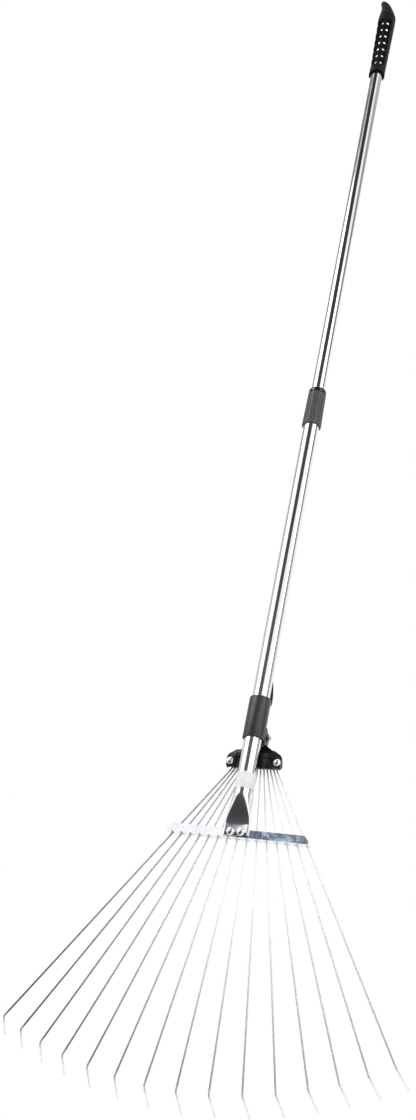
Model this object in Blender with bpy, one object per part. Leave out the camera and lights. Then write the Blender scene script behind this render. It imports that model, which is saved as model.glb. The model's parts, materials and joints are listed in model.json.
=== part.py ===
"""Telescopic leaf rake with an adjustable fan of fifteen wire tines, in metres, +Z up.

The rake hangs by the hole in its cap, which is the origin. The pole runs down -Z, the
head's front faces -Y and +X is to the right of a viewer in front. Heights inside the
functions are measured up from the level that the wires are aimed at, near the tongue's
end, and the rake_frame empty carries everything down so that the hanging hole lands on
the origin.
"""

import math

import bmesh
import bpy
from mathutils import Matrix, Vector

# Driving dimensions
HANG_HEIGHT = 1.353  # hanging hole above the level of the wires' aim
GAP = 0.0003  # clearance between neighbouring pieces

UPPER_R = 0.0087  # upper tube
UPPER_WALL = 0.0008
UPPER_BOTTOM = 0.440
UPPER_TOP = 1.328

LOWER_R = 0.0099  # lower tube
LOWER_WALL = 0.0007
LOWER_TOP = 0.585
LOWER_HOLLOW_END = 0.055
FLARE_TOP = 0.047  # the round tube starts to flatten here
FLARE_END = 0.013  # and is flat from here down
TONGUE_BOTTOM = 0.0018
FLAT_HALF_WIDTH = 0.0138
FLAT_HALF_THICKNESS = 0.0013

GRIP_BOTTOM = 1.199
GRIP_TOP = 1.329
GRIP_R_BOTTOM = 0.0114
GRIP_R_TOP = 0.0133
WINDOW_ROWS = 7
WINDOW_FIRST = 1.2194
WINDOW_PITCH = 0.0152
WINDOW_R = 0.0029
WINDOW_AZIMUTHS = (-76.0, -20.0, 36.0)  # degrees from the front towards +X
CAP_TOP = 1.3745
HANG_HOLE_R = 0.0047

COLLAR_BOTTOM = 0.537
COLLAR_TOP = 0.5875
COLLAR_R_BOTTOM = 0.0120
COLLAR_R_TOP = 0.0113
COLLAR_RIBS = 24
COLLET_TOP = 0.5945
COLLET_R = 0.0112

SLEEVE_BOTTOM = 0.1115
SLEEVE_TOP = 0.1600
SLEEVE_R = 0.0120
LABEL_BOTTOM = 0.0525
LABEL_TOP = 0.0705

BAR_HALF = 0.0797
BAR_TILT = 1.9  # degrees: the bar is riveted on a little askew, its left end higher
BAR_RISE = 0.0026  # its bend line on the pole's axis
BAR_HEIGHT = 0.0072
BAR_THICKNESS = 0.0015
BAR_DEPTH = 0.0125
BAR_CORNER = (0.0055, 0.0058)
SLOT_PITCH = 0.0109
SLOT_WIDTH = 0.0064
SLOT_Y = 0.0075
SLOT_LENGTH = 0.0052

TINES = 15
WIRE_R = 0.0009
PIVOT_PITCH = 0.0035
PIVOT_Y = 0.0200
PIVOT_Z = 0.0875
WIRE_LENGTH = 0.3497
TIP_LENGTH = 0.0295
TIP_ANGLE = 67.0
TIP_BEND_R = 0.0045
PEG_LENGTH = 0.0024

PLATE_FRONT = 0.0130  # front face of the yoke's front plate
PLATE_BACK = 0.0155
PLATE_HALF = 0.0318
PLATE_BOTTOM = 0.0838
PLATE_TOP = 0.1050
COMB_HALF = 0.0215  # the plate is thinner behind its comb of ribs
COMB_TOP = 0.0972
COMB_DEPTH = 0.0012
YOKE_BACK = 0.0243
YOKE_HALF = 0.0296
YOKE_BOTTOM = 0.0873
PEG_POCKET = (0.0262, 0.0228, 0.0888)  # half width, back and top of the hollow for the pegs
SCREW_X = 0.0270
SCREW_Z = 0.0912
SHANK_R = 0.0016
HEAD_R = 0.0043

PIN_Y = 0.0205
PIN_Z = 0.1225
LEVER_HALF_WIDTH = 0.0050
EAR_INSIDE = 0.0056
EAR_OUTSIDE = 0.0086

RIVET_X = 0.0058
RIVET_Z = 0.0058
PIN_R = 0.0018  # lever pin and rivets


def clear_scene():
    for obj in list(bpy.data.objects):
        bpy.data.objects.remove(obj, do_unlink=True)


def material(name, colour, roughness, metallic):
    made = bpy.data.materials.new(name)
    made.use_nodes = True
    shader = made.node_tree.nodes["Principled BSDF"]
    shader.inputs["Base Color"].default_value = (*colour, 1.0)
    shader.inputs["Roughness"].default_value = roughness
    shader.inputs["Metallic"].default_value = metallic
    made.diffuse_color = (*colour, 1.0)
    return made


# Mesh helpers


def circle(radius, z, segments=32, stretch=(1.0, 1.0), centre_x=0.0):
    points = []
    for i in range(segments):
        a = 2 * math.pi * i / segments
        x = centre_x + radius * stretch[0] * math.cos(a)
        points.append(Vector((x, radius * stretch[1] * math.sin(a), z)))
    return points


def rounded_section(half_x, half_y, power, z, segments=32, centre_x=0.0):
    """A superellipse: power 2 is an ellipse, and a higher power a rounded rectangle."""
    points = []
    for i in range(segments):
        a = 2 * math.pi * i / segments
        c, s = math.cos(a), math.sin(a)
        x = math.copysign(abs(c) ** (2 / power), c) * half_x
        y = math.copysign(abs(s) ** (2 / power), s) * half_y
        points.append(Vector((centre_x + x, y, z)))
    return points


def loft(rings, closed=False):
    """A skin over rings of equal length, capped at both ends unless it closes on itself."""
    bm = bmesh.new()
    rows = [[bm.verts.new(p) for p in ring] for ring in rings]
    pairs = list(zip(rows, rows[1:]))
    if closed:
        pairs.append((rows[-1], rows[0]))
    count = len(rings[0])
    for low, high in pairs:
        for i in range(count):
            j = (i + 1) % count
            bm.faces.new((low[i], low[j], high[j], high[i]))
    if not closed:
        bm.faces.new(rows[0])
        bm.faces.new(rows[-1])
    bmesh.ops.recalc_face_normals(bm, faces=bm.faces)
    return bm


def turned(profile, segments=32):
    """A solid of revolution about Z from (radius, z) points, first and last on the axis."""
    bm = bmesh.new()
    bottom = bm.verts.new((0, 0, profile[0][1]))
    top = bm.verts.new((0, 0, profile[-1][1]))
    rows = [[bm.verts.new(p) for p in circle(r, z, segments)] for r, z in profile[1:-1]]
    for i in range(segments):
        j = (i + 1) % segments
        bm.faces.new((bottom, rows[0][j], rows[0][i]))
        bm.faces.new((top, rows[-1][i], rows[-1][j]))
        for low, high in zip(rows, rows[1:]):
            bm.faces.new((low[i], low[j], high[j], high[i]))
    bmesh.ops.recalc_face_normals(bm, faces=bm.faces)
    return bm


def ring_solid(profile, segments=32):
    """A ring about Z whose section is the closed (radius, z) profile."""
    return loft([circle(r, z, segments) for r, z in profile], closed=True)


def prism(outline, low, high, along="Y"):
    """Extrudes an outline along Y, from (x, z) points, or along X, from (y, z) points."""
    if along == "Y":
        rings = [[Vector((a, d, b)) for a, b in outline] for d in (low, high)]
    else:
        rings = [[Vector((d, a, b)) for a, b in outline] for d in (low, high)]
    return loft(rings)


def box(low, high):
    return prism(
        [(low[0], low[2]), (high[0], low[2]), (high[0], high[2]), (low[0], high[2])],
        low[1],
        high[1],
    )


def rod(radius, low, high, along, centre, segments=20):
    """A cylinder along X or Y through centre, which gives the other two coordinates."""
    bm = turned([(0, low), (radius, low), (radius, high), (0, high)], segments)
    return turn_to(bm, along, centre)


def turn_to(bm, along, centre):
    """Turns a shape made about Z so that its +Z points along +X or +Y, and moves it."""
    if along == "X":
        spin = Matrix.Rotation(math.pi / 2, 4, "Y")
    else:
        spin = Matrix.Rotation(-math.pi / 2, 4, "X")
    bmesh.ops.transform(bm, matrix=Matrix.Translation(centre) @ spin, verts=bm.verts)
    return bm


def arc(centre, radius, start, end, steps):
    """Points on a circle in a plane, from start to end degrees."""
    points = []
    for i in range(steps + 1):
        a = math.radians(start + (end - start) * i / steps)
        points.append((centre[0] + radius * math.cos(a), centre[1] + radius * math.sin(a)))
    return points


def merged(parts):
    """One bmesh that holds several separate shapes, for a single cutter object."""
    whole = bmesh.new()
    for part in parts:
        copy = bpy.data.meshes.new("part_of_cutter")
        part.to_mesh(copy)
        part.free()
        whole.from_mesh(copy)
        bpy.data.meshes.remove(copy)
    return whole


def sweep(path, radius, segments=8):
    """A round wire along a path that lies in one plane, mitred at each point."""
    normal = Vector((0, 0, 0))
    for a, b, c in zip(path, path[1:], path[2:]):
        normal += (b - a).cross(c - b)
    normal.normalize()
    rings = []
    for i, point in enumerate(path):
        before = (point - path[max(i - 1, 0)]).normalized()
        after = (path[min(i + 1, len(path) - 1)] - point).normalized()
        along = (before + after).normalized()
        side = along.cross(normal).normalized()
        stretch = 1.0
        if before.length > 0 and after.length > 0:
            stretch = 1.0 / max(along.dot(after), 0.5)
        ring = []
        for k in range(segments):
            a = 2 * math.pi * k / segments
            ring.append(
                point + radius * (math.cos(a) * stretch * side + math.sin(a) * normal)
            )
        rings.append(ring)
    return loft(rings)


# Scene helpers


def add(name, bm, mat, parent, origin=(0, 0, 0), smooth=35.0):
    """Links a named piece whose origin sits at the given point of the rake's frame."""
    mesh = bpy.data.meshes.new(name)
    bmesh.ops.translate(bm, vec=-Vector(origin), verts=bm.verts)
    bm.to_mesh(mesh)
    bm.free()
    mesh.materials.append(mat)
    mesh.shade_smooth()
    mesh.set_sharp_from_angle(angle=math.radians(smooth))
    obj = bpy.data.objects.new(name, mesh)
    bpy.context.scene.collection.objects.link(obj)
    obj.parent = parent
    obj.location = origin
    return obj


def helper(name, bm, parent):
    """A shape used only by a Boolean."""
    obj = add(name, bm, bpy.data.materials["cutter"], parent)
    obj.hide_render = True
    obj.display_type = "WIRE"
    return obj


def combine(obj, other, operation):
    modifier = obj.modifiers.new(operation.lower() + "_" + other.name, "BOOLEAN")
    modifier.operation = operation
    modifier.object = other
    modifier.solver = "EXACT"


def empty(name, parent=None, location=(0, 0, 0)):
    obj = bpy.data.objects.new(name, None)
    bpy.context.scene.collection.objects.link(obj)
    obj.parent = parent
    obj.location = location
    return obj


# Upper pole


def tube(name, radius, wall, bottom, top, mat, parent):
    inner = radius - wall
    profile = [(radius, bottom), (radius, top), (inner, top), (inner, bottom)]
    return add(name, ring_solid(profile), mat, parent)


def end_plug(parent, mat):
    flange = LOWER_R - LOWER_WALL - GAP / 2
    stem = UPPER_R - UPPER_WALL - GAP
    seat = UPPER_BOTTOM - GAP
    profile = [
        (0, seat - 0.008),
        (flange - 0.0008, seat - 0.008),
        (flange, seat - 0.007),
        (flange, seat),
        (stem, seat),
        (stem, seat + 0.014),
        (0, seat + 0.014),
    ]
    add("end_plug", turned(profile), mat, parent)


def window_cutter(parent):
    """Rows of round holes through the grip's front, each from outside to the bore."""
    ovals = []
    for azimuth in WINDOW_AZIMUTHS:
        for row in range(WINDOW_ROWS):
            rings = [
                [Vector((p.x, p.y, depth)) for p in circle(WINDOW_R, 0, 12)]
                for depth in (0.008, 0.016)
            ]
            bm = loft(rings)
            spin = Matrix.Rotation(math.radians(azimuth), 4, "Z") @ Matrix.Rotation(
                math.pi / 2, 4, "X"
            )
            up = Matrix.Translation((0, 0, WINDOW_FIRST + row * WINDOW_PITCH))
            bmesh.ops.transform(bm, matrix=up @ spin, verts=bm.verts)
            ovals.append(bm)
    return helper("grip_window_cutter", merged(ovals), parent)


def grip(parent, mat):
    bore = UPPER_R + GAP
    profile = [
        (bore, GRIP_BOTTOM),
        (GRIP_R_BOTTOM + 0.0005, GRIP_BOTTOM),
        (GRIP_R_BOTTOM + 0.0004, GRIP_BOTTOM + 0.003),
        (GRIP_R_BOTTOM, GRIP_BOTTOM + 0.009),
        ((GRIP_R_BOTTOM + GRIP_R_TOP) / 2, (GRIP_BOTTOM + GRIP_TOP) / 2),
        (GRIP_R_TOP, GRIP_TOP - 0.012),
        (GRIP_R_TOP, GRIP_TOP),
        (bore, GRIP_TOP),
    ]
    obj = add("grip", ring_solid(profile), mat, parent)
    combine(obj, window_cutter(parent), "DIFFERENCE")


def hang_cap(parent, mat):
    """A plug in the tube's end, with a tab that narrows and hooks over to the left."""
    stem = UPPER_R - UPPER_WALL - GAP
    foot = GRIP_TOP + GAP
    rings = [circle(stem, foot - 0.016), circle(stem, foot), circle(GRIP_R_TOP, foot)]
    # height above the foot, half width, half depth, corner power, lean
    stages = (
        (0.003, 0.0132, 0.0130, 2.0, 0.0),
        (0.009, 0.0117, 0.0124, 2.1, -0.0004),
        (0.015, 0.0101, 0.0117, 2.3, -0.0009),
        (0.023, 0.0080, 0.0109, 2.6, -0.0020),
        (0.030, 0.0068, 0.0101, 2.7, -0.0044),
        (0.036, 0.0057, 0.0088, 2.5, -0.0074),
        (0.040, 0.0046, 0.0066, 2.3, -0.0090),
        (0.043, 0.0031, 0.0042, 2.1, -0.0097),
    )
    for height, half_x, half_y, power, lean in stages:
        rings.append(rounded_section(half_x, half_y, power, foot + height, centre_x=lean))
    rings.append(rounded_section(0.0011, 0.0018, 2.0, CAP_TOP, centre_x=-0.0100))
    obj = add("hang_cap", loft(rings), mat, parent)
    hole = rod(HANG_HOLE_R, -0.02, 0.02, "X", (0, 0, HANG_HEIGHT), 24)
    combine(obj, helper("hang_hole_cutter", hole, parent), "DIFFERENCE")


# Lower pole


def lower_tube(parent, mat):
    """Round tube that flattens and flares into the tongue riveted to the spreader bar."""
    steps = 7
    rings = [rounded_section(FLAT_HALF_WIDTH, FLAT_HALF_THICKNESS, 7.0, TONGUE_BOTTOM)]
    for i in range(steps + 1):
        z = FLARE_END + (FLARE_TOP - FLARE_END) * i / steps
        t = i / steps
        roundness = t * t * (3 - 2 * t)
        half_x = FLAT_HALF_WIDTH + (LOWER_R - FLAT_HALF_WIDTH) * roundness
        half_y = FLAT_HALF_THICKNESS + (LOWER_R - FLAT_HALF_THICKNESS) * roundness
        power = 7.0 + (2.0 - 7.0) * t**0.5
        rings.append(rounded_section(half_x, half_y, power, z))
    inner = LOWER_R - LOWER_WALL
    rings += [circle(LOWER_R, LOWER_TOP), circle(inner, LOWER_TOP)]
    rings += [circle(inner, LOWER_HOLLOW_END)]
    obj = add("lower_tube", loft(rings), mat, parent)
    combine(obj, rivet_hole_cutter(parent, "tongue_rivet_cutter"), "DIFFERENCE")


def rivet_hole_cutter(parent, name):
    holes = [
        rod(PIN_R + GAP, -0.01, 0.01, "Y", (side * RIVET_X, 0, RIVET_Z), 16) for side in (-1, 1)
    ]
    return helper(name, merged(holes), parent)


def collet_ring(parent, mat):
    """Split ring that the collar squeezes on the upper tube, with a rim above the collar."""
    low = LOWER_TOP + GAP
    seat = COLLAR_TOP + GAP
    bore = UPPER_R + GAP
    profile = [
        (LOWER_R, low),
        (LOWER_R, seat),
        (COLLET_R, seat),
        (COLLET_R, COLLET_TOP - 0.0020),
        (COLLET_R - 0.0013, COLLET_TOP),
        (bore, COLLET_TOP),
        (bore, low),
    ]
    add("collet_ring", ring_solid(profile), mat, parent)


def label_band(parent, mat):
    inner = LOWER_R + GAP
    outer = inner + 0.0003
    profile = [
        (outer, LABEL_BOTTOM),
        (outer, LABEL_TOP),
        (inner, LABEL_TOP),
        (inner, LABEL_BOTTOM),
    ]
    add("label_band", ring_solid(profile), mat, parent)


def slot_places():
    """Where each wire's rest line crosses the tilted bar: k, and x and y of the crossing."""
    slope = math.tan(math.radians(BAR_TILT))
    spread = SLOT_PITCH - PIVOT_PITCH
    middle = (TINES - 1) // 2
    places = []
    for k in range(-middle, middle + 1):
        level_x = k * PIVOT_PITCH + k * spread * (1 - BAR_RISE / PIVOT_Z)
        x = level_x / (1 - k * spread * slope / PIVOT_Z)
        share = (PIVOT_Z - BAR_RISE + slope * x) / PIVOT_Z
        places.append((k, x, PIVOT_Y + (SLOT_Y - PIVOT_Y) * share))
    return places


def spreader_bar(parent, mat):
    """Angle strip behind the tongue: an upright plate, and a flange with a slot for each tine."""
    front = FLAT_HALF_THICKNESS + GAP
    inner = front + BAR_THICKNESS
    outline = [(front, -BAR_THICKNESS), (BAR_DEPTH, -BAR_THICKNESS), (BAR_DEPTH, 0)]
    outline += [(inner, 0), (inner, BAR_HEIGHT), (front, BAR_HEIGHT)]
    tilt = Matrix.Translation((0, 0, BAR_RISE)) @ Matrix.Rotation(math.radians(BAR_TILT), 4, "Y")

    def tilted(bm):
        bmesh.ops.transform(bm, matrix=tilt, verts=bm.verts)
        return bm

    obj = add("spreader_bar", tilted(prism(outline, -BAR_HALF, BAR_HALF, "X")), mat, parent)
    slots = []
    end_r = 0.0015
    reach = SLOT_WIDTH / 2 - end_r
    y_scale = SLOT_LENGTH / 2 / end_r
    lean = (SLOT_PITCH - PIVOT_PITCH) / PIVOT_Z * BAR_THICKNESS / 2
    for k, crossing, y in slot_places():
        x = crossing + k * lean
        outline = arc((x - reach, 0), end_r, 90, 270, 6) + arc((x + reach, 0), end_r, 270, 450, 6)
        rings = [
            [Vector((px, y + py * y_scale, z)) for px, py in outline] for z in (-0.004, 0.001)
        ]
        slots.append(loft(rings))
    combine(obj, helper("slot_cutter", tilted(merged(slots)), parent), "DIFFERENCE")
    corners = []
    cut_x, cut_z = BAR_CORNER
    beyond = 0.002
    for side in (-1, 1):
        end = side * BAR_HALF
        outline = [
            (end - side * cut_x, BAR_HEIGHT + 0.00001),
            (end + side * beyond, BAR_HEIGHT + 0.004),
            (end + side * beyond, BAR_HEIGHT - cut_z * (cut_x + beyond) / cut_x),
        ]
        corners.append(prism(outline, -0.01, 0.01))
    combine(obj, helper("corner_cutter", tilted(merged(corners)), parent), "DIFFERENCE")
    combine(obj, rivet_hole_cutter(parent, "bar_rivet_cutter"), "DIFFERENCE")


def rivet(name, side, parent, mat):
    seat = -FLAT_HALF_THICKNESS - GAP
    back = FLAT_HALF_THICKNESS + BAR_THICKNESS + 2 * GAP
    profile = [(0, seat - 0.0027), (0.0014, seat - 0.0026), (0.0029, seat - 0.0019)]
    profile += [(0.0040, seat - 0.0008), (HEAD_R, seat), (PIN_R, seat), (PIN_R, back)]
    profile += [(0.0024, back), (0.0022, back + 0.0009), (0, back + 0.0012)]
    bm = turn_to(turned(profile, 20), "Y", (side * RIVET_X, 0, RIVET_Z))
    add(name, bm, mat, parent, (side * RIVET_X, 0, RIVET_Z))


# Twist collar


def twist_collar(parent, mat):
    bore = LOWER_R + GAP
    per_rib = 3
    count = COLLAR_RIBS * per_rib

    def ribbed(radius, depth, z):
        points = circle(radius, z, count)
        for i in range(0, count, per_rib):
            points[i] *= (radius - depth) / radius
            points[i].z = z
        return points

    low_r, top_r, groove = COLLAR_R_BOTTOM, COLLAR_R_TOP, 0.0005
    rings = [
        circle(bore, COLLAR_BOTTOM, count),
        circle(low_r - 0.0006, COLLAR_BOTTOM, count),
        circle(low_r, COLLAR_BOTTOM + 0.0008, count),
        circle(low_r, COLLAR_BOTTOM + 0.0022, count),
        ribbed(low_r, groove, COLLAR_BOTTOM + 0.0030),
        ribbed(top_r, groove, COLLAR_TOP - 0.0050),
        circle(top_r, COLLAR_TOP - 0.0040, count),
        circle(top_r - 0.0002, COLLAR_TOP - 0.0008, count),
        circle(bore + 0.0003, COLLAR_TOP, count),
        circle(bore, COLLAR_TOP, count),
    ]
    add("twist_collar", loft(rings, closed=True), mat, parent)


# Slider


def slider_sleeve(parent, mat):
    bore = LOWER_R + GAP
    profile = [
        (bore, SLEEVE_BOTTOM),
        (SLEEVE_R - 0.0004, SLEEVE_BOTTOM),
        (SLEEVE_R, SLEEVE_BOTTOM + 0.0005),
        (SLEEVE_R, SLEEVE_TOP - 0.0007),
        (SLEEVE_R - 0.0006, SLEEVE_TOP),
        (bore, SLEEVE_TOP),
    ]
    obj = add("slider_sleeve", ring_solid(profile), mat, parent)
    window = box((-0.0045, 0.005, PIN_Z - 0.0060), (0.0045, 0.02, PIN_Z + 0.0074))
    combine(obj, helper("pad_window_cutter", window, parent), "DIFFERENCE")


def brake_pad(parent, mat):
    low = (-0.0042, LOWER_R + GAP, PIN_Z - 0.0057)
    high = (0.0042, PIN_Y - 0.0062, PIN_Z + 0.0071)
    add("brake_pad", box(low, high), mat, parent)


def yoke_outline(end, bottom, top):
    """Right and left halves of the yoke's outline, from a height down to the bottom edge."""
    peak, shoulder = (0.0060, 0.1150), (end - 0.0022, 0.1000)
    if top < peak[1]:
        run = (peak[1] - top) / (peak[1] - shoulder[1])
        peak = (peak[0] + run * (shoulder[0] - peak[0]), top)
    right = [peak, shoulder, (end - 0.0004, 0.0972), (end, 0.0940)]
    right += [(end - 0.0006, bottom + 0.0024), (end - 0.0020, bottom)]
    left = [(-x, z) for x, z in reversed(right)]
    return right, left


def serrated_edge():
    """The plate's bottom edge from right to left, with a notch between each pair of tines."""
    points = []
    middle = (TINES - 1) // 2
    for k in range(middle, -middle - 1, -1):
        points.append((k * PIVOT_PITCH + PIVOT_PITCH / 2, PLATE_BOTTOM + 0.0014))
        points.append((k * PIVOT_PITCH, PLATE_BOTTOM))
    points.append((-(middle + 0.5) * PIVOT_PITCH, PLATE_BOTTOM + 0.0014))
    return points


def screw_hole_cutter(parent, name):
    holes = [
        rod(SHANK_R + GAP, 0.005, 0.035, "Y", (side * SCREW_X, 0, SCREW_Z), 16)
        for side in (-1, 1)
    ]
    return helper(name, merged(holes), parent)


def pin_hole_cutter(parent, name):
    return helper(name, rod(PIN_R + GAP, -0.02, 0.02, "X", (0, PIN_Y, PIN_Z), 16), parent)


def yoke_carrier(parent, mat):
    """Half ring behind the tube, lever ears and the yoke's back, moulded in one."""
    right, left = yoke_outline(YOKE_HALF, YOKE_BOTTOM, 1.0)
    front = PLATE_BACK + GAP
    obj = add("yoke_carrier", prism(right + left, front, YOKE_BACK), mat, parent)

    bore = LOWER_R + GAP
    outer = bore + 0.0027
    ring = ring_solid([(bore, 0.1055), (outer, 0.1055), (outer, 0.1108), (bore, 0.1108)])
    combine(obj, helper("carrier_ring", ring, parent), "UNION")
    ring_front = box((-0.02, -0.02, 0.1000), (0.02, 0.0045, 0.1170))
    combine(obj, helper("carrier_ring_front_cutter", ring_front, parent), "DIFFERENCE")
    ring_block = box((-0.0070, 0.0117, 0.1056), (0.0070, 0.0215, 0.1107))
    combine(obj, helper("carrier_ring_block", ring_block, parent), "UNION")
    ear_block = box((-EAR_OUTSIDE, 0.0130, 0.1085), (EAR_OUTSIDE, 0.0240, 0.1162))
    combine(obj, helper("carrier_ear_block", ear_block, parent), "UNION")
    ear_outline = [(0.0131, 0.1100), (0.0238, 0.1100)]
    ear_outline += arc((PIN_Y, PIN_Z), 0.0058, -20, 110, 7)
    ear_outline += [(0.0140, 0.1320), (0.0131, 0.1300)]
    for side, name in ((-1, "left"), (1, "right")):
        inside, outside = sorted((side * EAR_INSIDE, side * (EAR_OUTSIDE - 0.0001)))
        ear = prism(ear_outline, inside, outside, "X")
        combine(obj, helper("carrier_ear_" + name, ear, parent), "UNION")

    half, back, top = PEG_POCKET
    pocket = box((-half, 0.010, 0.070), (half, back, top))
    combine(obj, helper("peg_pocket_cutter", pocket, parent), "DIFFERENCE")
    combine(obj, screw_hole_cutter(parent, "carrier_screw_cutter"), "DIFFERENCE")
    combine(obj, pin_hole_cutter(parent, "carrier_pin_cutter"), "DIFFERENCE")


def yoke_front_plate(parent, mat):
    """Serrated plate in front of the tines, with upright ribs in a recess on its face."""
    right, left = yoke_outline(PLATE_HALF, PLATE_BOTTOM, PLATE_TOP)
    outline = right + serrated_edge() + left
    obj = add("yoke_front_plate", prism(outline, PLATE_FRONT, PLATE_BACK), mat, parent)
    floor = PLATE_FRONT + COMB_DEPTH
    recess = box((-COMB_HALF, 0.010, 0.080), (COMB_HALF, floor, COMB_TOP))
    combine(obj, helper("comb_recess_cutter", recess, parent), "DIFFERENCE")
    ribs = []
    middle = 5
    half_rib = 0.0007
    for k in range(-middle, middle + 1):
        x = k * PIVOT_PITCH
        low = (x - half_rib, PLATE_FRONT + 0.0002, PLATE_BOTTOM + 0.0018)
        high = (x + half_rib, floor + 0.0004, COMB_TOP - 0.0022)
        ribs.append(box(low, high))
    for side in (-1, 1):
        stay = [(0.0196, 0.1012), (0.0206, 0.1018), (0.0246, 0.0962), (0.0236, 0.0956)]
        stay = [(side * x, z) for x, z in stay]
        ribs.append(prism(stay, PLATE_FRONT - 0.0006, PLATE_FRONT + 0.0005))
    combine(obj, helper("plate_ribs", merged(ribs), parent), "UNION")
    combine(obj, screw_hole_cutter(parent, "plate_screw_cutter"), "DIFFERENCE")


def yoke_screw(name, side, parent, mat):
    seat = PLATE_FRONT - GAP
    end = YOKE_BACK + 0.0032
    profile = [(0, seat - 0.0030), (0.0015, seat - 0.0028), (0.0030, seat - 0.0020)]
    profile += [(0.0040, seat - 0.0009), (HEAD_R, seat), (SHANK_R, seat)]
    profile += [(SHANK_R, end), (0, end)]
    bm = turn_to(turned(profile, 20), "Y", (side * SCREW_X, 0, SCREW_Z))
    add(name, bm, mat, parent, (side * SCREW_X, 0, SCREW_Z))


def hex_nut(name, across, bore, low, high, along, centre, parent, mat):
    """A plain nut between two positions along its axis, with its end corners chamfered."""
    count = 24
    corners = []
    for i in range(count):
        a = 2 * math.pi * i / count
        from_flat = (a + math.pi / 6) % (math.pi / 3) - math.pi / 6
        corners.append((across / 2 / math.cos(from_flat), a))

    def hexagon(scale, z):
        return [Vector((r * scale * math.cos(a), r * scale * math.sin(a), z)) for r, a in corners]

    chamfer = 0.0003
    rings = [hexagon(0.95, low), hexagon(1, low + chamfer), hexagon(1, high - chamfer)]
    rings += [hexagon(0.95, high), circle(bore, high, count), circle(bore, low, count)]
    add(name, turn_to(loft(rings, closed=True), along, centre), mat, parent, centre)


def lever_pin(parent, mat):
    head = -EAR_OUTSIDE - GAP
    profile = [(0, head - 0.0018), (0.0028, head - 0.0018), (0.0034, head - 0.0012)]
    profile += [(0.0034, head), (PIN_R, head), (PIN_R, 0.0130), (0, 0.0130)]
    centre = (0, PIN_Y, PIN_Z)
    add("lever_pin", turn_to(turned(profile, 20), "X", centre), mat, parent, centre)


def cam_lever(parent, mat):
    """Cam round the pin, an arm up behind the sleeve and a hooked thumb rest at its end."""
    outline = arc((PIN_Y, PIN_Z), 0.0055, 60, -150, 14)
    outline += arc((PIN_Y, PIN_Z), 0.0060, 190, 165, 2)
    outline += [(0.0147, 0.1310), (0.0137, 0.1350), (0.0136, 0.1600)]
    outline += [(0.0133, 0.1760), (0.0124, 0.1880)]
    outline += [(0.0134, 0.1905), (0.0160, 0.1890), (0.0200, 0.1830), (0.0228, 0.1765)]
    outline += [(0.0243, 0.1690), (0.0236, 0.1645), (0.0205, 0.1610), (0.0178, 0.1585)]
    outline += [(0.0174, 0.1500), (0.0176, 0.1400), (0.0195, 0.1335), (0.0222, 0.1295)]
    centre = (0, PIN_Y, PIN_Z)
    bm = prism(outline, -LEVER_HALF_WIDTH, LEVER_HALF_WIDTH, "X")
    obj = add("cam_lever", bm, mat, parent, centre)
    combine(obj, pin_hole_cutter(parent, "lever_pin_cutter"), "DIFFERENCE")


# Tines


def tine(k, parent, mat):
    """One wire: a peg held in the yoke, the straight run through its slot, and the bent tip."""
    pivot = Vector((k * PIVOT_PITCH, PIVOT_Y, PIVOT_Z))
    slot = Vector((k * SLOT_PITCH, SLOT_Y, 0))
    along = (slot - pivot).normalized()
    back = Vector((0, 1, 0))
    back = (back - along * along.y).normalized()
    bend = pivot + along * WIRE_LENGTH
    angle = math.radians(TIP_ANGLE)
    reach = TIP_BEND_R * math.tan(angle / 2)
    tip = bend + TIP_LENGTH * (along * math.cos(angle) + back * math.sin(angle))
    path = [pivot + back * PEG_LENGTH, pivot, bend - along * (WIRE_LENGTH / 2)]
    centre = bend - along * reach + back * TIP_BEND_R
    steps = 5
    for i in range(steps + 1):
        a = angle * i / steps
        path.append(centre + TIP_BEND_R * (along * math.sin(a) - back * math.cos(a)))
    path.append(tip)
    number = k + (TINES + 1) // 2
    add(f"tine_{number:02d}", sweep(path, WIRE_R), mat, parent, pivot)


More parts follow.
